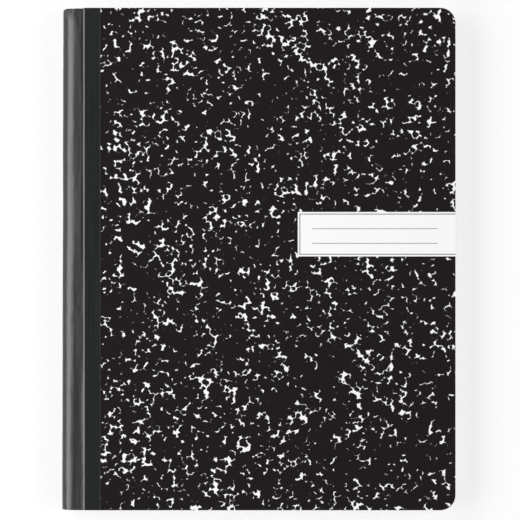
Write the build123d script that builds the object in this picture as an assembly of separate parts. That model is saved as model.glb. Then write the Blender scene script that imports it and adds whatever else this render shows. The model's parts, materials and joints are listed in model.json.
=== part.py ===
from build123d import *
from build123d.topology import SkipClean

import os
from math import atan2, ceil, tan

# A composition notebook lying on its back cover: one centre-folded, thread-sewn block of leaves
# between two boards, with a tape round the spine. +X runs to the fore edge, +Y to the head and +Z up
# through the front cover. The origin is the middle of the underside. Every size is in millimetres.

# Driving dimensions
BOOK_HEIGHT = 247.65  # head to tail, 9 3/4 in
BOARD_WIDTH = 183.4  # a board's hinge edge to its fore edge
BOARD_THICKNESS = 0.9
CORNER_RADIUS = 7.6  # both fore corners, trimmed through covers and leaves together
COVER_PAPER_THICKNESS = 0.12
ENDPAPER_THICKNESS = 0.1

LEAF_COUNT = 100
LEAF_THICKNESS = 0.098

SPINE_REACH = 9.9  # a board's hinge edge to the outermost line of the spine
TAPE_THICKNESS = 0.25
TAPE_LAP = 8.4  # tape glued onto each board
GLUE_GAP = 0.05  # between the fold of the leaves and the tape
STEP_RUN = 0.9  # slope by which the tape climbs onto a board's hinge edge
HINGE_LAND = 0.3  # flat tape between the hinge line and the foot of that slope
FOLD_LAND = 0.9  # flat tape between the hinge line and the round of the fold

THREAD_DIAMETER = 0.5  # along the fold
STITCH_DIAMETER = 0.42  # through the fold, where the needle pulls the thread tight
THREAD_CLEARANCE = 0.1
STITCH_PITCH = 8.0
STITCH_MARGIN = 6.0  # head or tail to the nearest stitch
THREAD_SINK = 0.3  # crest of the fold to the centre of the outer thread

# Places that follow from them
cover_thickness = COVER_PAPER_THICKNESS + BOARD_THICKNESS + ENDPAPER_THICKNESS
block_thickness = LEAF_COUNT * LEAF_THICKNESS
book_width = BOARD_WIDTH + SPINE_REACH
book_thickness = block_thickness + 2 * (cover_thickness + TAPE_THICKNESS)
mid_z = book_thickness / 2
block_top = mid_z + block_thickness / 2

fore_x = book_width / 2
board_x = fore_x - BOARD_WIDTH
foot_x = board_x - STEP_RUN
hinge_x = foot_x - HINGE_LAND
round_x = hinge_x - FOLD_LAND  # where the round of the fold begins
fold_x = -book_width / 2 + TAPE_THICKNESS + GLUE_GAP  # crest of the fold
fold_depth = round_x - fold_x

# The centre fold of the innermost leaf lies half the block's thickness inside the crest.
gutter_x = fold_x + block_thickness / 2
stitch_x = fold_x + THREAD_SINK

# The mirror plane that turns a front piece into its back twin
MID_PLANE = Plane(origin=(0, 0, mid_z), x_dir=(1, 0, 0), z_dir=(0, 0, 1))


def along_spine(section):
    """A face drawn in the XZ plane, extruded over the whole height of the book."""
    return extrude(section, amount=BOOK_HEIGHT / 2, both=True)


def half_round(grow):
    """The closed half-ellipse of the fold, with both half-axes larger by grow."""
    face = Ellipse(fold_depth + grow, block_thickness / 2 + grow)
    keep = Rectangle(2 * (fold_depth + grow), 2 * block_thickness, align=(Align.MAX, Align.CENTER))
    return Plane.XZ * (Location((round_x, mid_z)) * (face & keep))


def slab(x_from, x_to, z_from, z_to):
    """A box over the whole height of the book between two X and two Z planes."""
    box = Box(x_to - x_from, BOOK_HEIGHT, z_to - z_from)
    return Location(((x_from + x_to) / 2, 0, (z_from + z_to) / 2)) * box


def round_fore_corners(solid):
    """Round the two upright edges at the fore edge."""
    upright = solid.edges().filter_by(Axis.Z)
    return fillet(upright.group_by(Axis.X)[-1], CORNER_RADIUS)


def cover_sheet(z_from, thickness, x_from=board_x):
    """One flat layer of a cover, with rounded fore corners."""
    return round_fore_corners(slab(x_from, fore_x, z_from, z_from + thickness))


def stitch_places():
    """The Y of each stitch, evenly spaced between the head and tail margins."""
    span = BOOK_HEIGHT - 2 * STITCH_MARGIN
    gaps = ceil(span / STITCH_PITCH)
    return [span * (i / gaps - 0.5) for i in range(gaps + 1)]


def thread_run(x, diameter, length):
    """A straight thread along Y in the mid-plane of the block."""
    return Location((x, 0, mid_z)) * Cylinder(diameter / 2, length, rotation=(90, 0, 0))


def thread_stitch(y, diameter, x_from, x_to):
    """A straight thread along X through the fold."""
    bar = Cylinder(diameter / 2, x_to - x_from, rotation=(0, 90, 0))
    return Location(((x_from + x_to) / 2, y, mid_z)) * bar


def sewing_thread():
    """The lockstitch: a run outside the fold, a run in the centre gutter and the stitches between."""
    length = BOOK_HEIGHT - 2 * STITCH_MARGIN + THREAD_DIAMETER
    runs = [thread_run(x, THREAD_DIAMETER, length) for x in (stitch_x, gutter_x)]
    stitches = [thread_stitch(y, STITCH_DIAMETER, stitch_x, gutter_x) for y in stitch_places()]
    return runs[0].fuse(runs[1], *stitches)


def page_block():
    """All the leaves, folded at the spine and trimmed at the fore edge, with the sewing's channels."""
    leaves = slab(round_x, fore_x, mid_z - block_thickness / 2, block_top)
    block = round_fore_corners(leaves + along_spine(half_round(0)))
    channel = THREAD_DIAMETER + 2 * THREAD_CLEARANCE
    hole = STITCH_DIAMETER + 2 * THREAD_CLEARANCE
    cuts = [thread_run(x, channel, BOOK_HEIGHT + channel) for x in (stitch_x, gutter_x)]
    cuts += [thread_stitch(y, hole, stitch_x, gutter_x) for y in stitch_places()]
    return block.cut(*cuts)


def spine_tape():
    """The tape round the fold, from one hinge line to the other."""
    inner = half_round(GLUE_GAP)
    outer = half_round(GLUE_GAP + TAPE_THICKNESS)
    tape_z = block_top + GLUE_GAP
    flat = slab(round_x, hinge_x, tape_z, tape_z + TAPE_THICKNESS)
    return along_spine(outer - inner) + flat + mirror(flat, about=MID_PLANE)


def front_tape_flap():
    """The tape from the hinge line, up onto the board's edge and over the board."""
    low = block_top + GLUE_GAP
    high = block_top + cover_thickness
    end_x = board_x + TAPE_LAP
    mitre = TAPE_THICKNESS * tan(atan2(high - low, STEP_RUN) / 2)
    under = [(hinge_x, low), (foot_x, low), (board_x, high), (end_x, high)]
    over = [
        (end_x, high + TAPE_THICKNESS),
        (board_x - mitre, high + TAPE_THICKNESS),
        (foot_x - mitre, low + TAPE_THICKNESS),
        (hinge_x, low + TAPE_THICKNESS),
    ]
    outline = Polyline(*under, *over, close=True)
    return along_spine(Plane.XZ * make_face(outline))


def front_cover_paper():
    """The printed cover sheet, with a seam where the tape's edge lies on it."""
    z_from = block_top + ENDPAPER_THICKNESS + BOARD_THICKNESS
    sheet = cover_sheet(z_from, COVER_PAPER_THICKNESS)
    seam = Plane(origin=(board_x + TAPE_LAP, 0, 0), z_dir=(1, 0, 0))
    taped = split(sheet, bisect_by=seam, keep=Keep.BOTTOM)
    bare = split(sheet, bisect_by=seam, keep=Keep.TOP)
    with SkipClean():
        return taped + bare


def front_pieces():
    """The pieces that turn with the front cover."""
    return {
        "board": cover_sheet(block_top + ENDPAPER_THICKNESS, BOARD_THICKNESS),
        "cover_paper": front_cover_paper(),
        "endpaper": cover_sheet(block_top, ENDPAPER_THICKNESS),
        "tape_flap": front_tape_flap(),
    }


def main():
    nodes = {
        "page_block": page_block(),
        "sewing_thread": sewing_thread(),
        "spine_tape": spine_tape(),
    }
    for name, piece in front_pieces().items():
        nodes[f"front_{name}"] = piece
        nodes[f"back_{name}"] = mirror(piece, about=MID_PLANE)
    os.makedirs("parts", exist_ok=True)
    for name, piece in nodes.items():
        export_step(piece, f"parts/{name}.step")


main()
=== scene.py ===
import json
import math

import bpy
import numpy as np
from mathutils import Matrix, Vector, noise


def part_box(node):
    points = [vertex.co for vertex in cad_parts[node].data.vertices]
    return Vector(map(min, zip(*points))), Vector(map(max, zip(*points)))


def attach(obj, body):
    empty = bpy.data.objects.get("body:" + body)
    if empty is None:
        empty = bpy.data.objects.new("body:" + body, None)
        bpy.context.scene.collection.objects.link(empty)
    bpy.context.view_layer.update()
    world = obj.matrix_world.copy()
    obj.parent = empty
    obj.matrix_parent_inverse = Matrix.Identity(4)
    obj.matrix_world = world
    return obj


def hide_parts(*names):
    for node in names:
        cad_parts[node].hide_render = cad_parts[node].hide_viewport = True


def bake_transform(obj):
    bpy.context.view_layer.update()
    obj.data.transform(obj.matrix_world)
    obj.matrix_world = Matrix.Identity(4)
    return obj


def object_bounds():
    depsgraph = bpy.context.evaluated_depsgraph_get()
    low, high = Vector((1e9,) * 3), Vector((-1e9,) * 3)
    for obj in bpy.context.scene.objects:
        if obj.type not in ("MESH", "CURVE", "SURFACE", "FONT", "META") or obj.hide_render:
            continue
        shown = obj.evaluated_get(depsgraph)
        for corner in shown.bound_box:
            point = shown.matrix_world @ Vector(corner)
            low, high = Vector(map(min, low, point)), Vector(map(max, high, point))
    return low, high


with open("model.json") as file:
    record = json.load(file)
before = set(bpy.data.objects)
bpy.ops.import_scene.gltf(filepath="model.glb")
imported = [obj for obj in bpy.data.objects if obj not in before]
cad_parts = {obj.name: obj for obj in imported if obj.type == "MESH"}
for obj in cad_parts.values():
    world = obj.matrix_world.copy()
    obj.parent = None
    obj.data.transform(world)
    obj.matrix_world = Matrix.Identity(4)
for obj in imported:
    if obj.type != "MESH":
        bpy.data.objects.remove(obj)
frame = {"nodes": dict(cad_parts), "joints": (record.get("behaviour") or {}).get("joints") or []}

CAD_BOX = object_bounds()

# A composition notebook, closed and lying on its back cover. +X runs to the fore edge, +Y to the head
# and +Z up through the front cover. Lengths are in metres, but in millimetres inside the materials.
MM = 0.001

# ---- Places read from the frame ------------------------------------------------------------------

BLOCK_LOW, BLOCK_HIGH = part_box("page_block")
FLAP_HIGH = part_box("front_tape_flap")[1]
HINGE = {j["child"]: Vector(j["pos_m"]) for j in frame["joints"]}

CREST_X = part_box("spine_tape")[0].x  # outermost line of the spine
BOARD_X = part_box("front_board")[0].x  # hinge edge of the boards
FORE_X = BLOCK_HIGH.x
LAP_X = FLAP_HIGH.x  # edge of the tape on the board
HINGE_X = HINGE["front_cover"].x
HALF_HEIGHT = BLOCK_HIGH.y
HALF_BLOCK = (BLOCK_HIGH.z - BLOCK_LOW.z) / 2
MID_Z = (BLOCK_LOW.z + BLOCK_HIGH.z) / 2
TAPE_TOP = FLAP_HIGH.z - MID_Z  # from the mid-plane to the tape's outer face on a board

# ---- Sizes of the real book that the frame doesn't give ------------------------------------------

CORNER_RADIUS = 7.6 * MM  # of both fore corners, through covers and leaves
TAPE_THICKNESS = 0.25 * MM
SHEETS = 50  # folded once each, so 100 leaves


# ---- Meshes --------------------------------------------------------------------------------------

SHARP_DEG = 40  # faces that meet at more than this keep a sharp edge


def smooth(t):
    """0 before 0, 1 after 1 and an S between."""
    t = min(max(t, 0.0), 1.0)
    return t * t * (3 - 2 * t)


def new_object(name, verts, faces, material):
    """A mesh object with smooth shading and sharp edges."""
    mesh = bpy.data.meshes.new(name)
    mesh.from_pydata([tuple(v) for v in verts], [], faces)
    mesh.validate()
    mesh.polygons.foreach_set("use_smooth", [True] * len(mesh.polygons))
    mesh.set_sharp_from_angle(angle=math.radians(SHARP_DEG))
    mesh.materials.append(material)
    obj = bpy.data.objects.new(name, mesh)
    bpy.context.scene.collection.objects.link(obj)
    return obj


def set_uv(obj, name, places):
    """A UV map with one place for each vertex."""
    layer = obj.data.uv_layers.new(name=name)
    corners = np.zeros(len(obj.data.loops), np.int32)
    obj.data.loops.foreach_get("vertex_index", corners)
    layer.data.foreach_set("uv", np.asarray(places, np.float32)[corners].ravel())


def strip_faces(rows, columns, closed):
    """Quads between successive rows of as many points. closed joins the last column to the first."""
    faces = []
    for i in range(rows - 1):
        for j in range(columns if closed else columns - 1):
            k = (j + 1) % columns
            row, above = i * columns, (i + 1) * columns
            faces.append((row + j, row + k, above + k, above + j))
    return faces


# ---- Shader trees --------------------------------------------------------------------------------

class Shader:
    """A Principled material, with one short call for each kind of node. Places are in millimetres."""

    def __init__(self, name):
        self.material = bpy.data.materials.new(name)
        self.material.use_nodes = True
        self.tree = self.material.node_tree
        self.bsdf = self.tree.nodes["Principled BSDF"]

    def put(self, socket, value):
        """Links another node's output to a socket, or sets its value. None leaves it as it is."""
        if isinstance(value, bpy.types.NodeSocket):
            self.tree.links.new(value, socket)
        elif value is not None:
            socket.default_value = value

    def node(self, kind, **settings):
        made = self.tree.nodes.new("ShaderNode" + kind)
        for key, value in settings.items():
            setattr(made, key, value)
        return made

    def surface(self, **inputs):
        """Sets the Principled shader's inputs, each named with _ for a space."""
        for key, value in inputs.items():
            self.put(self.bsdf.inputs[key.replace("_", " ")], value)

    def math(self, operation, a, b=None, c=None, clamp=False):
        made = self.node("Math", operation=operation, use_clamp=clamp)
        for socket, value in zip(made.inputs, (a, b, c)):
            self.put(socket, value)
        return made.outputs[0]

    def vector(self, operation, a, b):
        made = self.node("VectorMath", operation=operation)
        self.put(made.inputs[0], a)
        self.put(made.inputs[1], b)
        return made.outputs["Vector"]

    def stretched(self, vector, scale, offset=(0, 0, 0)):
        """vector times scale plus offset, axis by axis."""
        made = self.node("VectorMath", operation="MULTIPLY_ADD")
        self.put(made.inputs[0], vector)
        self.put(made.inputs[1], scale)
        self.put(made.inputs[2], offset)
        return made.outputs["Vector"]

    def noise(self, place, per_mm, shift=(0, 0, 0), detail=2.0, roughness=0.5, colour=False):
        """Soft noise from 0 to 1 with per_mm grains to the millimetre, axis by axis."""
        made = self.node("TexNoise")
        self.put(made.inputs["Vector"], self.stretched(place, per_mm, shift))
        made.inputs["Scale"].default_value = 1.0
        made.inputs["Detail"].default_value = detail
        made.inputs["Roughness"].default_value = roughness
        return made.outputs["Color" if colour else "Fac"]

    def cells(self, vector):
        """Distance to the nearest random point and that point's colour, on a plane."""
        made = self.node("TexVoronoi", voronoi_dimensions="2D", feature="F1")
        self.put(made.inputs["Vector"], vector)
        made.inputs["Scale"].default_value = 1.0
        return made.outputs["Distance"], made.outputs["Color"]

    def ramp(self, value, low, high, to_low=0.0, to_high=1.0):
        """to_low up to low, to_high from high and a straight run between."""
        made = self.node("MapRange", interpolation_type="LINEAR")
        for socket, number in zip(made.inputs, (value, low, high, to_low, to_high)):
            self.put(socket, number)
        return made.outputs[0]

    def fall(self, value, low, high):
        """1 up to low and 0 from high."""
        return self.ramp(value, low, high, 1.0, 0.0)

    def mix(self, factor, a, b):
        """Colour a where the factor is 0 and colour b where it is 1."""
        made = self.node("Mix", data_type="RGBA")
        self.put(made.inputs["Factor"], factor)
        self.put(made.inputs[6], a)
        self.put(made.inputs[7], b)
        return made.outputs[2]

    def mix_shaders(self, factor, a, b):
        """Shader a where the factor is 0 and shader b where it is 1."""
        made = self.node("MixShader")
        for socket, value in zip(made.inputs, (factor, a, b)):
            self.put(socket, value)
        return made.outputs[0]

    def split(self, vector):
        made = self.node("SeparateXYZ")
        self.put(made.inputs[0], vector)
        return made.outputs

    def object_mm(self):
        """The place on the piece in millimetres."""
        return self.stretched(self.node("TexCoord").outputs["Object"], (1000, 1000, 1000))

    def uv_mm(self, name):
        """The place along the unrolled piece in millimetres, from a map in metres."""
        return self.stretched(self.node("UVMap", uv_map=name).outputs["UV"], (1000, 1000, 0))

    def bump(self, height, strength, depth_mm, normal=None):
        """Relief of depth_mm from a height of 0 to 1, over the relief that normal has already."""
        made = self.node("Bump")
        made.inputs["Strength"].default_value = strength
        made.inputs["Distance"].default_value = depth_mm * MM
        self.put(made.inputs["Height"], height)
        self.put(made.inputs["Normal"], normal)
        return made.outputs["Normal"]

    def band(self, value, low, high, soft):
        """1 between low and high, with edges soft wide."""
        rise = self.ramp(value, low - soft / 2, low + soft / 2)
        return self.both(rise, self.fall(value, high - soft / 2, high + soft / 2))

    def both(self, a, b):
        """Where two masks overlap."""
        return self.math("MULTIPLY", a, b)

    def either(self, a, b):
        """Where at least one of two masks is."""
        return self.math("MAXIMUM", a, b)


def rgb(r, g, b):
    """An opaque colour, linear."""
    return (r, g, b, 1.0)


# ---- Materials -----------------------------------------------------------------------------------

# The marbling's white veins are what is left between round black drops, which are strewn over the sheet
# in three sizes: the drops' spacing in mm, and their radius and its spread as shares of that spacing.
DROPS = ((7.0, 0.295, 0.30), (6.2, 0.335, 0.23), (2.35, 0.725, 0.29))
DROP_SHIFT = (3.7, 9.1)  # from one size's pattern to the next, in spacings
WARPS = ((7.9, 0.8), (2.1, 1.9))  # size in mm of each warp, and how far in mm it moves a place
DENSITY_SIZE, DENSITY = 30.0, 0.9  # patches with more and with fewer veins
RAGGED_SIZE, RAGGED = 2.0, 1.3  # breaks the veins into beads
LEVEL_SHIFT = (5, 5, 0)  # keeps the noise of these two apart from that of the warps
VEIN_SOFT = 0.19  # width in mm of a vein's soft edge

# The label panel, in mm from the middle of the cover. It runs off the fore edge.
LABEL_LEFT, LABEL_LOW, LABEL_HIGH = 18.85, 1.3, 23.2
LABEL_LINE_INSET, LABEL_LINE = 0.85, 0.40  # of its frame line: distance inside the edge, and width
LABEL_SOFT = 0.12
WRITING_LINES, WRITING_LINE = (7.6, 14.8), 0.28  # their places, and the width of each
WRITING_FROM, WRITING_TO = 26.0, 88.0

PRINT_BLACKS = rgb(0.0142, 0.0100, 0.0108), rgb(0.0120, 0.0104, 0.0106)
PRINT_WHITE = rgb(0.93, 0.925, 0.92)
LABEL_WHITE = rgb(0.94, 0.94, 0.935)
LABEL_GREY = rgb(0.13, 0.13, 0.13)


def veins(s, place):
    """How white the marbling is at a place on the sheet, 0 to 1."""
    for size, far in WARPS:
        wander = s.noise(place, (1 / size, 1 / size, 0), detail=1.0, colour=True)
        wander = s.vector("SUBTRACT", wander, (0.5, 0.5, 0.5))
        place = s.vector("ADD", place, s.stretched(wander, (far, far, 0)))
    depth = None
    for number, (size, radius, spread) in enumerate(DROPS):
        shift = (DROP_SHIFT[0] * number, DROP_SHIFT[1] * number, 0)
        distance, colour = s.cells(s.stretched(place, (1 / size, 1 / size, 0), shift))
        own = s.ramp(s.split(colour)[0], 0, 1, radius - spread, radius + spread)
        outside = s.math("MULTIPLY", s.math("SUBTRACT", distance, own), size)
        depth = outside if depth is None else s.math("MINIMUM", depth, outside)
    for size, amount in ((DENSITY_SIZE, DENSITY), (RAGGED_SIZE, RAGGED)):
        level = s.noise(place, (1 / size, 1 / size, 0), LEVEL_SHIFT, detail=1.0)
        depth = s.math("ADD", depth, s.math("MULTIPLY", s.math("SUBTRACT", level, 0.5), amount))
    return s.ramp(depth, -VEIN_SOFT / 2, VEIN_SOFT / 2)


def label(s, place):
    """The label panel: how far a place is on it, and how far on one of its grey lines."""
    x, y, _ = s.split(place)

    def within(inset):
        """How far a place is more than inset inside the panel's three edges."""
        left = LABEL_LEFT + inset
        past_left = s.ramp(x, left, left + LABEL_SOFT)
        return s.both(past_left, s.band(y, LABEL_LOW + inset, LABEL_HIGH - inset, LABEL_SOFT))

    lines = s.math("SUBTRACT", within(LABEL_LINE_INSET), within(LABEL_LINE_INSET + LABEL_LINE))
    along = s.band(x, WRITING_FROM, WRITING_TO, LABEL_SOFT)
    for height in WRITING_LINES:
        line = s.band(y, height, height + WRITING_LINE, LABEL_SOFT)
        lines = s.either(lines, s.both(along, line))
    return within(0.0), lines


def printed_paper(name, sheet_at, labelled):
    """A marbled cover sheet: white veins on black, varnished, with a label panel if labelled.
    sheet_at says which part of the endless marbled sheet it is cut from."""
    s = Shader(name)
    place = s.object_mm()
    white = veins(s, s.vector("ADD", place, sheet_at))
    mottle = s.noise(place, (0.05, 0.05, 0.05), detail=3.0)
    ink = s.mix(white, s.mix(mottle, *PRINT_BLACKS), PRINT_WHITE)
    if labelled:
        panel, lines = label(s, place)
        ink = s.mix(panel, ink, LABEL_WHITE)
        ink = s.mix(lines, ink, LABEL_GREY)
    fibre = s.noise(place, (3.0, 3.0, 3.0), detail=4.0, roughness=0.6)
    s.surface(
        Base_Color=ink,
        Roughness=s.ramp(fibre, 0.3, 0.7, 0.38, 0.47),
        Specular_IOR_Level=0.11,
        Normal=s.bump(fibre, strength=0.25, depth_mm=0.03),
    )
    return s.material


TAPE_CUT = 21.12  # mm round the tape from the middle of the spine to just past its cut edge
PALE_EDGE_GLINT_FROM, PALE_EDGE_GLINT_TO = 0.40, 0.20  # mm short of that: the cut edge begins to turn pale, and is fully pale. The pale is its lighter fibres and partly a painted highlight of the edge catching light
CREASED_TO_HEAD = (1.6, 6.0)  # mm from the head: all creased up to the first and none from the second,
CREASED_TO_CREST = (6.5, 9.0)  # and the same in mm round the tape from the middle of the spine
TAPE_BLACKS = rgb(0.0085, 0.0108, 0.0100), rgb(0.0125, 0.0148, 0.0138)
# The tape's cut edge: lighter fibres, and partly a painted highlight where the edge catches light
TAPE_PALE_EDGE_AND_GLINT = rgb(0.060, 0.062, 0.061)


def binding_tape():
    """Black coated cloth paper, drawn along the spine: faint long streaks, fine grain and dents."""
    s = Shader("binding_tape")
    place = s.uv_mm("Unrolled")
    round_tape, up, _ = s.split(place)
    streaks = s.noise(place, (1.1, 0.02, 0), detail=4.0, roughness=0.65)
    grain = s.noise(place, (4.5, 4.5, 0), detail=3.0, roughness=0.6)
    dents = s.noise(place, (0.45, 0.22, 0), (7, 3, 0), detail=2.0)
    creases = s.noise(place, (1.3, 0.8, 0), detail=3.0, roughness=0.6)
    to_crest = s.math("ABSOLUTE", round_tape)
    to_head = s.math("SUBTRACT", HALF_HEIGHT / MM, up)
    creased = s.both(s.fall(to_head, *CREASED_TO_HEAD), s.fall(to_crest, *CREASED_TO_CREST))
    # Paler towards the cut edge: lighter fibres, and partly a painted highlight
    pale_edge_and_glint = s.ramp(to_crest, TAPE_CUT - PALE_EDGE_GLINT_FROM, TAPE_CUT - PALE_EDGE_GLINT_TO)
    colour = s.mix(s.ramp(streaks, 0.3, 0.7), *TAPE_BLACKS)
    dull = s.ramp(s.math("MULTIPLY_ADD", grain, 0.5, streaks), 0.5, 1.0, 0.25, 0.34)
    crease_dull = s.both(creased, s.ramp(creases, 0.35, 0.65, 0.10, 0.42))
    normal = s.bump(grain, strength=0.30, depth_mm=0.05)
    normal = s.bump(streaks, strength=0.35, depth_mm=0.10, normal=normal)
    normal = s.bump(dents, strength=0.22, depth_mm=0.30, normal=normal)
    normal = s.bump(s.both(creased, creases), strength=0.8, depth_mm=0.5, normal=normal)
    s.surface(
        Base_Color=s.mix(pale_edge_and_glint, colour, TAPE_PALE_EDGE_AND_GLINT),
        Roughness=s.math("ADD", dull, crease_dull),
        Specular_IOR_Level=0.68,
        Normal=normal,
    )
    return s.material


BOARD_TONES = rgb(0.20, 0.18, 0.155), rgb(0.47, 0.44, 0.40)
BOARD_LAYER = rgb(0.24, 0.215, 0.185)


def greyboard():
    """Pulp board: grey-brown with darker and paler flecks, layered along its cut edges."""
    s = Shader("greyboard")
    place = s.object_mm()
    flecks = s.noise(place, (1.8, 1.8, 6.0), detail=5.0, roughness=0.7)
    layers = s.noise(place, (0.12, 0.12, 7.0), detail=3.0)
    colour = s.mix(s.ramp(flecks, 0.32, 0.68), *BOARD_TONES)
    colour = s.mix(s.ramp(layers, 0.35, 0.65, 0.0, 0.35), colour, BOARD_LAYER)
    s.surface(
        Base_Color=colour,
        Roughness=0.88,
        Specular_IOR_Level=0.2,
        Normal=s.bump(s.math("ADD", flecks, layers), strength=0.6, depth_mm=0.12),
    )
    return s.material


LINING_TONES = rgb(0.93 * 0.84, 0.93 * 0.83, 0.93 * 0.79), rgb(0.84, 0.83, 0.79)


def lining_paper():
    """The endpapers: uncoated paper with a little cloudiness and fibre."""
    s = Shader("endpaper")
    place = s.uv_mm("Flat")
    clouds = s.noise(place, (0.12, 0.12, 0), detail=4.0, roughness=0.6)
    fibre = s.noise(place, (1.5, 6.0, 0), detail=3.0, roughness=0.6)
    s.surface(
        Base_Color=s.mix(s.ramp(clouds, 0.35, 0.65), *LINING_TONES),
        Roughness=0.82,
        Specular_IOR_Level=0.25,
        Normal=s.bump(fibre, strength=0.25, depth_mm=0.03),
    )
    return s.material


# College ruling, in mm
RULE_PITCH, RULE_WIDTH, RULE_SOFT = 7.1, 0.3, 0.1
HEAD_MARGIN, TAIL_MARGIN = 25.4, 9.0  # above the first rule, and at least this below the last
MARGIN_RULE = 31.75  # from the hinge edge on a front page, and from the fore edge on a back page
RULE_INK = 0.75  # how far the rules cover the paper
RULE_BLUE, MARGIN_RED = rgb(0.24, 0.44, 0.66), rgb(0.72, 0.22, 0.27)

LEAF_TONES = rgb(0.83, 0.82, 0.775), rgb(0.90, 0.89, 0.85)
LEAF_EDGE = rgb(0.55, 0.535, 0.49)
FACE_SKIN = 0.04  # mm: what lies this near the block's outer faces is a page, and the rest is cut edge


def page_rules(s, x, y, z):
    """How far a place on an outer page is on a blue rule, and how far on the red margin rule."""
    head, tail = HALF_HEIGHT / MM - HEAD_MARGIN, TAIL_MARGIN - HALF_HEIGHT / MM
    lines_down = s.math("DIVIDE", s.math("SUBTRACT", head, y), RULE_PITCH)
    step = s.math("MULTIPLY", s.math("FRACT", lines_down), RULE_PITCH)
    ruled = s.band(y, tail, head + RULE_SOFT, RULE_SOFT)
    rules = s.both(s.band(step, 0.0, RULE_WIDTH, RULE_SOFT), ruled)
    on_front, on_back = BOARD_X / MM + MARGIN_RULE, FORE_X / MM - MARGIN_RULE
    margin = s.node("Mix", data_type="FLOAT")
    s.put(margin.inputs["Factor"], s.math("GREATER_THAN", z, MID_Z / MM))
    s.put(margin.inputs["A"], s.band(x, on_back, on_back + RULE_WIDTH, RULE_SOFT))
    s.put(margin.inputs["B"], s.band(x, on_front, on_front + RULE_WIDTH, RULE_SOFT))
    return rules, margin.outputs[0]


def leaf_paper():
    """The leaves: ruled on the block's two outer faces, with the streaks of the cut edges elsewhere."""
    s = Shader("leaf_paper")
    place = s.object_mm()
    x, y, z = s.split(place)
    from_middle = s.math("ABSOLUTE", s.math("SUBTRACT", z, MID_Z / MM))
    page = s.math("GREATER_THAN", from_middle, HALF_BLOCK / MM - FACE_SKIN)
    rules, margin = page_rules(s, x, y, z)
    clouds = s.noise(place, (0.1, 0.1, 0.1), detail=3.0)
    colour = s.mix(clouds, *LEAF_TONES)
    colour = s.mix(s.math("MULTIPLY", s.both(rules, page), RULE_INK), colour, RULE_BLUE)
    colour = s.mix(s.math("MULTIPLY", s.both(margin, page), RULE_INK), colour, MARGIN_RED)
    streaks = s.noise(place, (0.05, 0.05, 4.5), detail=4.0, roughness=0.7)
    streaked = s.both(s.math("SUBTRACT", 1.0, page), s.ramp(streaks, 0.35, 0.7, 0.0, 0.45))
    fibre = s.noise(place, (2.5, 2.5, 8.0), detail=4.0, roughness=0.65)
    s.surface(
        Base_Color=s.mix(streaked, colour, LEAF_EDGE),
        Roughness=0.85,
        Specular_IOR_Level=0.25,
        Normal=s.bump(fibre, strength=0.3, depth_mm=0.05),
    )
    return s.material


THREAD_TONES = rgb(0.62, 0.60, 0.54), rgb(0.84, 0.82, 0.77)


def cotton_thread():
    """Off-white thread with the relief of its twist."""
    s = Shader("cotton_thread")
    twist = s.noise(s.object_mm(), (5.0, 2.5, 5.0), detail=3.0)
    s.surface(
        Base_Color=s.mix(twist, *THREAD_TONES),
        Roughness=0.8,
        Normal=s.bump(twist, strength=0.7, depth_mm=0.1),
    )
    return s.material


# ---- Covers --------------------------------------------------------------------------------------

BOARD_EASE = 0.3 * MM  # the covers start this far past the CAD boards' hinge edge, so the tape can turn
PAPER_EDGE, BOARD_EDGE = 0.03 * MM, 0.06 * MM  # radius of their cut edges
BOARD_ROUGH = 0.035 * MM  # how far a board's cut edge strays
ROUGH_PER_METRE = 900  # waves to the metre of that straying along the edge,
ROUGH_FINER = 3  # and how many times as many there are through the board


def outline(x_from, inset):
    """The trimmed outline of a cover, square at the hinge edge and round at the fore corners."""
    half, fore, radius = HALF_HEIGHT - inset, FORE_X - inset, CORNER_RADIUS - inset
    points = []
    straight, turn = 24, 14  # points along a side and round a corner
    for i in range(straight):
        points.append((x_from + inset + (fore - radius - x_from - inset) * i / straight, -half))
    for i in range(turn):
        a = -math.pi / 2 + math.pi / 2 * i / turn
        points.append((fore - radius + radius * math.cos(a), -half + radius + radius * math.sin(a)))
    for i in range(straight):
        points.append((fore, -half + radius + 2 * (half - radius) * i / straight))
    for i in range(turn):
        a = math.pi / 2 * i / turn
        points.append((fore - radius + radius * math.cos(a), half - radius + radius * math.sin(a)))
    for i in range(straight + 1):
        points.append((fore - radius - (fore - radius - x_from - inset) * i / straight, half))
    for i in range(1, straight):
        points.append((x_from + inset, half - 2 * half * i / straight))
    return points


def plate(name, node, body, material, edge, rough=0.0):
    """A flat layer of a cover, in the CAD node's place. edge is the radius of its cut edges, and rough is
    how far they stray."""
    low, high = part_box(node)
    x_from = low.x + BOARD_EASE
    corner = [(edge * (1 - math.sin(a)), edge * (1 - math.cos(a))) for a in map(math.radians, (30, 60))]
    levels = 4  # quads down the cut edge
    section = [(5 * edge, high.z), (edge, high.z)]
    section += [(inset, high.z - drop) for inset, drop in corner]
    for i in range(levels + 1):
        section.append((0.0, high.z - edge - (high.z - low.z - 2 * edge) * i / levels))
    section += [(inset, low.z + drop) for inset, drop in reversed(corner)]
    section += [(edge, low.z), (5 * edge, low.z)]
    verts = []
    for inset, z in section:
        for x, y in outline(x_from, inset):
            place = Vector((x, y, ROUGH_FINER * z)) * ROUGH_PER_METRE
            stray = rough * noise.noise(place) if inset == 0 else 0.0
            verts.append((x - stray * (x > x_from + edge), y - stray * math.copysign(1, y), z))
    count = len(verts) // len(section)
    faces = [tuple(reversed(f)) for f in strip_faces(len(section), count, True)]
    faces.append(tuple(range(count)))
    faces.append(tuple(reversed(range(len(verts) - count, len(verts)))))
    obj = new_object(name, verts, faces, material)
    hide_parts(node)
    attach(obj, body)
    return obj


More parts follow.
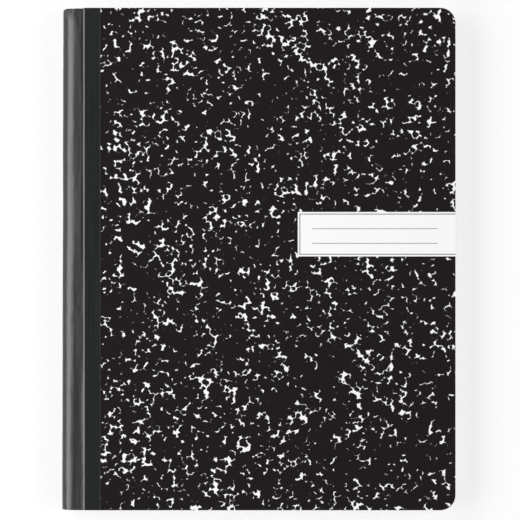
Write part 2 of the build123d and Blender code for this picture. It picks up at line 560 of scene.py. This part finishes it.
# Where a cover sheet's faces lie on its bake map, as shares of the map's side: the outer face at the left,
# the glued face, much smaller, at the lower right, and the rim in an upright strip over that.
FACE_MAP, FACE_LENGTH = (0.02, 0.03), 0.94
GLUED_MAP, GLUED_SHARE = (0.75, 0.03), 0.3
RIM_LEFT, RIM_WIDTH = 0.77, 0.04
RIM_FROM, RIM_TO = 0.42, 0.97
FLAT = 0.9  # of a face's normal that points up or down


def map_print(obj):
    """The map that a cover sheet's print is baked through."""
    mesh = obj.data
    layer = mesh.uv_layers.new(name="OFBake")
    low = Vector(mesh.vertices[0].co)
    high = low.copy()
    for v in mesh.vertices:
        low = Vector(map(min, low, v.co))
        high = Vector(map(max, high, v.co))
    outside = 1 if (low.z + high.z) / 2 > MID_Z else -1
    large = FACE_LENGTH / (high.y - low.y)
    small = GLUED_SHARE * large
    for face in mesh.polygons:
        up = face.normal.z * outside
        for k in face.loop_indices:
            co = mesh.vertices[mesh.loops[k].vertex_index].co
            x, y = co.x - low.x, co.y - low.y
            if up > FLAT:
                u, v = FACE_MAP[0] + x * large, FACE_MAP[1] + y * large
            elif up < -FLAT:
                u, v = GLUED_MAP[0] + x * small, GLUED_MAP[1] + y * small
            else:
                turn = math.atan2(co.y, co.x) / (2 * math.pi) + 0.5
                if turn > 0.99 and math.atan2(face.center.y, face.center.x) < 0:
                    turn = 0.0  # the face that begins the rim, not the one that ends it
                u = RIM_LEFT + RIM_WIDTH * (co.z - low.z) / (high.z - low.z)
                v = RIM_FROM + (RIM_TO - RIM_FROM) * turn
            layer.data[k].uv = (u, v)


# ---- Strips that run from the head to the tail ---------------------------------------------------

def half_height_at(x, fore):
    """Half the height of a leaf or cover at x, less where a fore corner is rounded."""
    past = max(0.0, x - (fore - CORNER_RADIUS))
    return HALF_HEIGHT - CORNER_RADIUS + math.sqrt(max(0.0, CORNER_RADIUS ** 2 - past ** 2))


def corner_columns(fore, count=9):
    """X places that follow a rounded fore corner evenly, from where it begins to the fore edge."""
    return [fore - CORNER_RADIUS + CORNER_RADIUS * math.sin(math.pi / 2 * t) for t in even(count)]


def even(count):
    """Even shares from 0 to 1."""
    return [i / (count - 1) for i in range(count)]


def ribbon(outer, inner, y_range, stations, shift=None):
    """A closed strip: the outer and inner lines of its section, run along Y between y_range(x)
    at stations, as shares of that range. shift(i, y) moves the i-th pair of points by (dx, dz)."""
    n = len(outer)
    loop = [(i, outer[i]) for i in range(n)] + [(i, inner[i]) for i in reversed(range(n))]
    verts = []
    for share in stations:
        for i, (x, z) in loop:
            low, high = y_range(outer[i][0])
            y = low + (high - low) * share
            dx, dz = shift(i, y) if shift else (0.0, 0.0)
            verts.append((x + dx, y, z + dz))
    faces = strip_faces(len(stations), 2 * n, True)
    last = (len(stations) - 1) * 2 * n
    for i in range(n - 1):
        j, k = 2 * n - 1 - i, 2 * n - 2 - i
        faces.append((i, j, k, i + 1))
        faces.append((last + i, last + i + 1, last + k, last + j))
    return verts, faces


def line_normals(points):
    """The left-hand normal at each point of a line in the XZ plane."""
    p = np.asarray(points, float)
    along = np.gradient(p, axis=0)
    along /= np.linalg.norm(along, axis=1)[:, None]
    return np.stack([-along[:, 1], along[:, 0]], axis=1)


def bend(obj, side, cover, before, after):
    """Bakes a sheet's place into its mesh, with no bend over a cover's hinge.
    The cover, and the two distances along X from the hinge line, are not used."""
    if side > 0:
        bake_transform(obj)
    else:
        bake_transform(obj)


# ---- Tape ----------------------------------------------------------------------------------------

ROUND_DEPTH = 7.8 * MM  # the round of the spine runs this far back from its crest
SPINE_PROUD = 0.55 * MM  # the tape stands this far off the CAD spine at its crest
SPINE_TURN = 0.36 * MM  # its section is fuller at the crest towards the tail, and flatter towards the head
CHORD_SLOPE = 0.19  # of the tape where it bridges from the leaves to the board
STEP_RISE = 0.36 * MM  # height of its ridge over the board's edge,
STEP_BEFORE, STEP_AFTER = 0.15 * MM, 0.75 * MM  # which runs from before that edge to after it
EDGE_RADIUS = 0.3 * TAPE_THICKNESS  # of its cut edge on the board
TAPE_BEND = -1.1 * MM, 0.7 * MM  # two distances along X from the hinge line, handed to bend

# The tape stops short of the head and of the tail, more so at the crest, where its corners are rounded off.
HEAD_SHORT, HEAD_SHORT_END, HEAD_SHORT_FADE = 0.3 * MM, 10 * MM, 3 * MM  # over the round, not on the board
TAIL_SHORT = 0.03 * MM
HEAD_CORNER, HEAD_CORNER_REACH = 0.55 * MM, 0.8 * MM
TAIL_CORNER, TAIL_CORNER_REACH = 0.3 * MM, 0.7 * MM

# Its relief is free over the round and nearly gone where it is glued to the board.
GLUED_FROM, GLUED_FADE = 8.6 * MM, 1.5 * MM  # behind the crest
GLUED_LOSS = 0.93  # share of the relief that the glue takes away
TURN_REACH = 6.5 * MM  # SPINE_TURN goes from one way to the other over this far behind the crest,
TURN_AT_CREST = 0.7  # with this share of it at the crest and the rest from there on
LONG_WAVE, LONG_WAVES = 0.13 * MM, (110, 28)  # depth, and waves to the metre round and along the spine
SHORT_WAVE, SHORT_WAVES = 0.05 * MM, (300, 150)
SHORT_WAVE_END, SHORT_WAVE_FADE = 5 * MM, 2.5 * MM  # behind the crest, where the short waves fade out
PINCH, PINCH_LENGTH, PINCH_REACH = 0.26 * MM, 4.0 * MM, 5.0 * MM  # pressed in at the head of the spine,
CRUMPLE, CRUMPLES = 0.40 * MM, (1300, 800)  # and crumpled there

EVEN_STATIONS, HEAD_STATIONS = 104, 20
HEAD_SHARE = 0.029  # the stations are closer together over this last share, where the tape is crumpled
TAPE_STATIONS = [i / EVEN_STATIONS for i in range(EVEN_STATIONS - 2)]
TAPE_STATIONS += [1 - HEAD_SHARE * (1 - i / HEAD_STATIONS) for i in range(1, HEAD_STATIONS + 1)]


def tape_line():
    """The outer line of half the tape: distances behind the crest and heights over the mid-plane."""
    foot = (BOARD_X - CREST_X - STEP_BEFORE, TAPE_TOP - STEP_RISE)
    straight = foot[1] - CHORD_SLOPE * (foot[0] - ROUND_DEPTH)
    high = math.sqrt(straight ** 2 - (CHORD_SLOPE * ROUND_DEPTH) ** 2)
    meets = math.atan2(high, CHORD_SLOPE * ROUND_DEPTH)
    turn, chord, step, flat = 34, 22, 12, 12  # points on each stretch
    line = []
    for i in range(turn):
        a = meets * i / turn
        line.append((ROUND_DEPTH * (1 - math.cos(a)), high * math.sin(a)))
    start = (ROUND_DEPTH * (1 - math.cos(meets)), high * math.sin(meets))
    for i in range(chord):
        t = i / chord
        line.append((start[0] + (foot[0] - start[0]) * t, start[1] + (foot[1] - start[1]) * t))
    run = STEP_BEFORE + STEP_AFTER
    for i in range(step):
        t = i / step
        rise = STEP_RISE * smooth(t) + CHORD_SLOPE * run * t * (1 - t) ** 2
        line.append((foot[0] + run * t, foot[1] + rise))
    step_end, lap = foot[0] + run, LAP_X - CREST_X - EDGE_RADIUS
    for t in even(flat):
        line.append((step_end + (lap - step_end) * t, TAPE_TOP))
    for a in map(math.radians, (30, 60, 90)):
        line.append((lap + EDGE_RADIUS * math.sin(a), TAPE_TOP - EDGE_RADIUS * (1 - math.cos(a))))
    return line


def fade(distance, end, over):
    """1 up to end, and down to 0 over some distance more."""
    return 1 - smooth((distance - end) / over)


def head_recess(behind):
    """How far the tape stops short of the head, at a distance behind the crest."""
    corner = HEAD_CORNER * math.exp(-(behind / HEAD_CORNER_REACH) ** 2)
    return HEAD_SHORT * fade(behind, HEAD_SHORT_END, HEAD_SHORT_FADE) + corner


def tail_recess(behind):
    """How far the tape stops short of the tail, at a distance behind the crest."""
    return TAIL_SHORT + TAIL_CORNER * math.exp(-(behind / TAIL_CORNER_REACH) ** 2)


def tape_relief(behind, side, y):
    """How far the tape stands off its line: long soft waves, and a pinch at the head of the spine."""

    def waves(per_metre, layer):
        return noise.noise(Vector((side * behind * per_metre[0], y * per_metre[1], layer)))

    free = 1 - GLUED_LOSS * smooth((behind - GLUED_FROM) / GLUED_FADE)
    turned = SPINE_TURN * (y / HALF_HEIGHT) * (smooth(behind / TURN_REACH) - TURN_AT_CREST)
    long = LONG_WAVE * waves(LONG_WAVES, 1.7)
    short = SHORT_WAVE * waves(SHORT_WAVES, 5.1) * fade(behind, SHORT_WAVE_END, SHORT_WAVE_FADE)
    pinched = smooth(1 - (HALF_HEIGHT - y) / PINCH_LENGTH) * smooth(1.3 - behind / PINCH_REACH)
    return free * (turned + long + short) - pinched * (PINCH + CRUMPLE * waves(CRUMPLES, 9.4))


def tape_half(name, side, material, cover, nodes):
    """Half of the binding tape, from the middle of the spine onto one board, at side 1 in front or -1
    behind."""
    line = tape_line()
    normals = line_normals(line)
    normals[0] = (-1.0, 0.0)
    outer, inner = [], []
    for (behind, height), (nx, nz) in zip(line, normals):
        proud = SPINE_PROUD * (1 - smooth(behind / ROUND_DEPTH))
        outer.append((CREST_X + behind - proud, MID_Z + side * height))
        under = (behind - nx * TAPE_THICKNESS, height - nz * TAPE_THICKNESS)
        if behind > LAP_X - CREST_X - EDGE_RADIUS:
            under = (behind, TAPE_TOP - TAPE_THICKNESS)
        inner.append((CREST_X + under[0] - proud, MID_Z + side * under[1]))

    def y_range(x):
        behind = x - CREST_X
        return -(HALF_HEIGHT - tail_recess(behind)), HALF_HEIGHT - head_recess(behind)

    def shift(i, y):
        off = tape_relief(line[i][0], side, y)
        return normals[i][0] * off, side * normals[i][1] * off

    verts, faces = ribbon(outer, inner, y_range, TAPE_STATIONS, shift)
    if side < 0:
        faces = [tuple(reversed(f)) for f in faces]
    obj = new_object(name, verts, faces, material)
    steps = np.hypot(*np.diff(np.asarray(line), axis=0).T)
    arc = side * np.concatenate([[0], np.cumsum(steps)])
    arc = np.tile(np.concatenate([arc, arc[::-1]]), len(TAPE_STATIONS))
    set_uv(obj, "Unrolled", np.stack([arc, [v[1] for v in verts]], axis=1))
    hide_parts(*nodes)
    bend(obj, side, cover, *TAPE_BEND)


# ---- Endpapers -----------------------------------------------------------------------------------

TUCK = 1.0 * MM  # how far an endpaper runs past the hinge, over the fold of the leaves
LINING_BEND = -0.4 * MM, 0.9 * MM  # two distances along X from the hinge line, handed to bend
LINING_CLOSE = 2 * MM  # its columns are close together up to this far past the board's hinge edge
LINING_SHORT, LINING_SHORT_FADE = 0.7 * MM, 5 * MM  # how far it stops short of the head at the hinge
TAIL_SHARE = 0.3  # and the share of that at the tail
BACK_FLAT_SHIFT = 0.3  # metres, which keep the back's paper apart from the front's


def endpaper(name, node, side, material, cover):
    """The lining of a cover, flat from a little past the hinge line to the fore edge."""
    low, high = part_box(node)
    far, near = (high.z, low.z) if side > 0 else (low.z, high.z)
    start, close_end, corner = HINGE_X - TUCK, BOARD_X + LINING_CLOSE, FORE_X - CORNER_RADIUS
    close, wide = 48, 20  # columns
    xs = [start + (close_end - start) * i / close for i in range(close)]
    xs += [close_end + (corner - close_end) * i / wide for i in range(wide)]
    xs += corner_columns(FORE_X)
    outer = [(x, far) for x in xs]
    inner = [(x, near) for x in xs]

    def y_range(x):
        half = half_height_at(x, FORE_X)
        short = LINING_SHORT * fade(x, HINGE_X, LINING_SHORT_FADE)
        return -half + TAIL_SHARE * short, half - short

    verts, faces = ribbon(outer, inner, y_range, even(14))
    if side < 0:
        faces = [tuple(reversed(f)) for f in faces]
    obj = new_object(name, verts, faces, material)
    across = BACK_FLAT_SHIFT if side < 0 else 0.0
    set_uv(obj, "Flat", [(x + across, y) for x, y, _ in verts])
    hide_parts(node)
    bend(obj, side, cover, *LINING_BEND)


# ---- Leaves --------------------------------------------------------------------------------------

FOLD_START = BLOCK_LOW.x + ROUND_DEPTH - 0.3 * MM  # where the sheets leave the flat
FOLD_SWELL = 0.15 * MM  # the leaves stand a little proud beside the fold
FOLD_INSET = 0.1 * MM  # of the outermost fold from the CAD block's
FOLD_RECESS = 0.4 * MM  # the leaves end this far inside the tape at the fold,
FOLD_RECESS_END, FOLD_RECESS_FADE = 9 * MM, 3 * MM  # up to this far behind the crest, then less over this
COVERED_END, COVERED_FADE = 9.5 * MM, 2.5 * MM  # likewise, where the leaves' ends follow the tape's
PAPER_SHARE = 0.9  # of a leaf's place that is paper, and the rest is air
TRIM_STRAY = 0.03 * MM  # the most that a sheet adds to the fore edge's drift, and that it strays from it,
TRIM_KEPT = 0.8  # and the share of the last sheet's drift that it keeps
END_STRAY = 0.05 * MM  # the most by which a sheet is trimmed short at the head and at the tail


def leaf_line(index, fore, leaf):
    """The centre line of one folded sheet, from its upper fore edge round the fold to its lower one."""
    inside = (index + 0.5) * leaf
    height = HALF_BLOCK - inside
    depth = FOLD_START - (BLOCK_LOW.x + FOLD_INSET) - inside
    flat = list(reversed(corner_columns(fore)))
    flat += [FOLD_START + (fore - CORNER_RADIUS - FOLD_START) * t for t in (0.6, 0.25, 0.1, 0.05)]
    upper = [(x, height) for x in flat]
    fold = []
    for a in (math.pi * t for t in even(17)):
        swell = FOLD_SWELL * (height / HALF_BLOCK) * math.sin(2 * a) ** 2 * (1 if a < math.pi / 2 else -1)
        fold.append((FOLD_START - depth * math.sin(a), height * math.cos(a) + swell))
    lower = [(x, -height) for x in reversed(flat)]
    return [(x, MID_Z + z) for x, z in upper + fold + lower]


def leaves(material):
    """The page block: every sheet folded round the next, trimmed a little unevenly."""
    rng = np.random.default_rng(31)
    leaf = HALF_BLOCK / SHEETS
    verts, faces = [], []
    drift = 0.0
    for index in range(SHEETS):
        drift = TRIM_KEPT * drift + TRIM_STRAY * rng.random()
        fore = FORE_X - drift - TRIM_STRAY * rng.random()
        slack_head, slack_tail = END_STRAY * rng.random(2)
        line = np.asarray(leaf_line(index, fore, leaf))
        to_face = line_normals(line) * PAPER_SHARE * leaf / 2
        outer, inner = (line - to_face).tolist(), (line + to_face).tolist()

        def y_range(x):
            behind = x - CREST_X
            half = half_height_at(min(x, fore), fore)
            recess = FOLD_RECESS * fade(behind, FOLD_RECESS_END, FOLD_RECESS_FADE)
            covered = fade(behind, COVERED_END, COVERED_FADE)
            head = half - slack_head - recess - covered * head_recess(behind)
            return -half + slack_tail + recess + covered * tail_recess(behind), head

        more, rest = ribbon(outer, inner, y_range, even(2))
        faces += [tuple(len(verts) + k for k in f) for f in rest]
        verts += more
    obj = new_object("leaves", verts, faces, material)
    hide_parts("page_block")
    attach(obj, "pages")


# ---- The book ------------------------------------------------------------------------------------

FRONT_SHEET_AT, BACK_SHEET_AT = (140.0, 322.0, 0), (520.0, 1196.0, 0)  # on the marbled sheet, in mm


def build_book():
    """The leaves, then each cover from its print in to its lining, its half of the tape, and the thread."""
    board, tape, lining = greyboard(), binding_tape(), lining_paper()
    leaves(leaf_paper())
    for end, side, sheet_at in (("front", 1, FRONT_SHEET_AT), ("back", -1, BACK_SHEET_AT)):
        cover = f"{end}_cover"
        paper = printed_paper(f"{end}_print", sheet_at, labelled=side > 0)
        sheet = plate(f"{end}_print_sheet", f"{end}_cover_paper", cover, paper, PAPER_EDGE)
        map_print(sheet)
        core = plate(f"{end}_greyboard", f"{end}_board", cover, board, BOARD_EDGE, BOARD_ROUGH)
        endpaper(f"{end}_lining", f"{end}_endpaper", side, lining, cover)
        nodes = [f"{end}_tape_flap"] + (["spine_tape"] if side > 0 else [])
        tape_half(f"{end}_binding_tape", side, tape, cover, nodes)
    thread = frame["nodes"]["sewing_thread"]
    thread.data.materials.clear()
    thread.data.materials.append(cotton_thread())


# ---- Floor, light and camera ---------------------------------------------------------------------

FLOOR_SHARE = 0.3  # of the floor's own shading in what the camera sees. The rest is the white behind it.
FLOOR_WHITE, FLOOR_SEEN = rgb(0.88, 0.88, 0.88), rgb(0.98, 0.98, 0.98)  # to the book, and to the camera
FLOOR_REACH, FLOOR_Z = 4.0, -0.02 * MM


def floor_material():
    """White floor, which takes shadows and casts none. From above the camera sees it partly clear,
    so what swings below it at a pose still shows, and from below not at all."""
    s = Shader("floor")
    s.tree.nodes.remove(s.bsdf)
    path = s.node("LightPath").outputs
    underside = s.node("NewGeometry").outputs["Backfacing"]
    white = s.node("BsdfDiffuse")
    white.inputs["Color"].default_value = FLOOR_WHITE
    seen = s.node("BsdfDiffuse")
    seen.inputs["Color"].default_value = FLOOR_SEEN
    clear = s.node("BsdfTransparent").outputs[0]
    thin = s.mix_shaders(FLOOR_SHARE, clear, seen.outputs[0])
    floor = s.mix_shaders(path["Is Camera Ray"], white.outputs[0], thin)
    gone = s.math("MULTIPLY_ADD", path["Is Camera Ray"], underside, path["Is Shadow Ray"], clamp=True)
    s.put(s.tree.nodes["Material Output"].inputs["Surface"], s.mix_shaders(gone, floor, clear))
    return s.material


def build_floor():
    """A wide plane just under the book."""
    sides = ((-1, -1), (1, -1), (1, 1), (-1, 1))
    corners = [(FLOOR_REACH * x, FLOOR_REACH * y, FLOOR_Z) for x, y in sides]
    floor = new_object("floor", corners, [(0, 1, 2, 3)], floor_material())


SKY_HEIGHTS = (0.05, 0.60)  # sines of the angle over the horizon, between which the sky darkens
SKY_STRENGTHS = (0.55, 0.12)


def build_world():
    """White to the camera. What lights the book is pale at the horizon and dim overhead."""
    world = bpy.data.worlds.new("studio")
    bpy.context.scene.world = world
    world.use_nodes = True
    tree = world.node_tree
    background = tree.nodes["Background"]
    coords = tree.nodes.new("ShaderNodeTexCoord")
    split = tree.nodes.new("ShaderNodeSeparateXYZ")
    fall = tree.nodes.new("ShaderNodeMapRange")
    fall.interpolation_type = "SMOOTHSTEP"
    for socket, number in zip(fall.inputs[1:5], SKY_HEIGHTS + SKY_STRENGTHS):
        socket.default_value = number
    tree.links.new(coords.outputs["Generated"], split.inputs[0])
    tree.links.new(split.outputs["Z"], fall.inputs[0])
    path = tree.nodes.new("ShaderNodeLightPath")
    pick = tree.nodes.new("ShaderNodeMix")
    pick.data_type = "FLOAT"
    tree.links.new(path.outputs["Is Camera Ray"], pick.inputs[0])
    tree.links.new(fall.outputs[0], pick.inputs[2])
    pick.inputs[3].default_value = 1.0
    tree.links.new(pick.outputs[0], background.inputs["Strength"])
    background.inputs["Color"].default_value = rgb(1, 1, 1)


def softbox(name, tilt_deg, turn_deg, distance, width, length, radiance):
    """A soft panel aimed at the book, tilt_deg off the vertical and turned turn_deg round from +X."""
    lamp = bpy.data.lights.new(name, "AREA")
    lamp.shape = "RECTANGLE"
    lamp.size, lamp.size_y = width, length
    lamp.energy = radiance * math.pi * width * length
    obj = bpy.data.objects.new(name, lamp)
    bpy.context.scene.collection.objects.link(obj)
    tilt, turn = math.radians(tilt_deg), math.radians(turn_deg)
    away = Vector((math.sin(tilt) * math.cos(turn), math.sin(tilt) * math.sin(turn), math.cos(tilt)))
    side = Vector((-math.sin(turn), math.cos(turn), 0))
    across = side.cross(away)
    obj.matrix_world = Matrix((across, side, away)).transposed().to_4x4()
    obj.matrix_world.translation = away * distance
    obj.visible_camera = False


def build_lights():
    """A long softbox along the spine, whose glint runs down it, and a weaker one opposite."""
    softbox("key", tilt_deg=53, turn_deg=172, distance=1.3, width=0.76, length=2.4, radiance=4.8)
    softbox("fill", tilt_deg=58, turn_deg=-8, distance=1.4, width=0.60, length=2.0, radiance=2.9)


FRAME_WIDTH = 256.26 * MM  # what the picture shows across, at the level of the front cover
VIEW_X, VIEW_Y = 0.3 * MM, -0.47 * MM  # where the picture's middle falls on the book
LENS = 300.0  # mm, long enough to look straight down on the whole book


def build_camera():
    """A camera straight above the book, with the head of the book at the top of the picture."""
    camera = bpy.data.cameras.new("camera")
    camera.lens = LENS
    obj = bpy.data.objects.new("camera", camera)
    bpy.context.scene.collection.objects.link(obj)
    distance = FRAME_WIDTH * camera.lens / camera.sensor_width
    obj.location = (VIEW_X, VIEW_Y, CAD_BOX[1][2] + distance)
    bpy.context.scene.camera = obj


build_camera()
build_book()
build_floor()
build_world()
build_lights()
bpy.context.scene.view_settings.view_transform = "Standard"
bpy.context.view_layer.update()
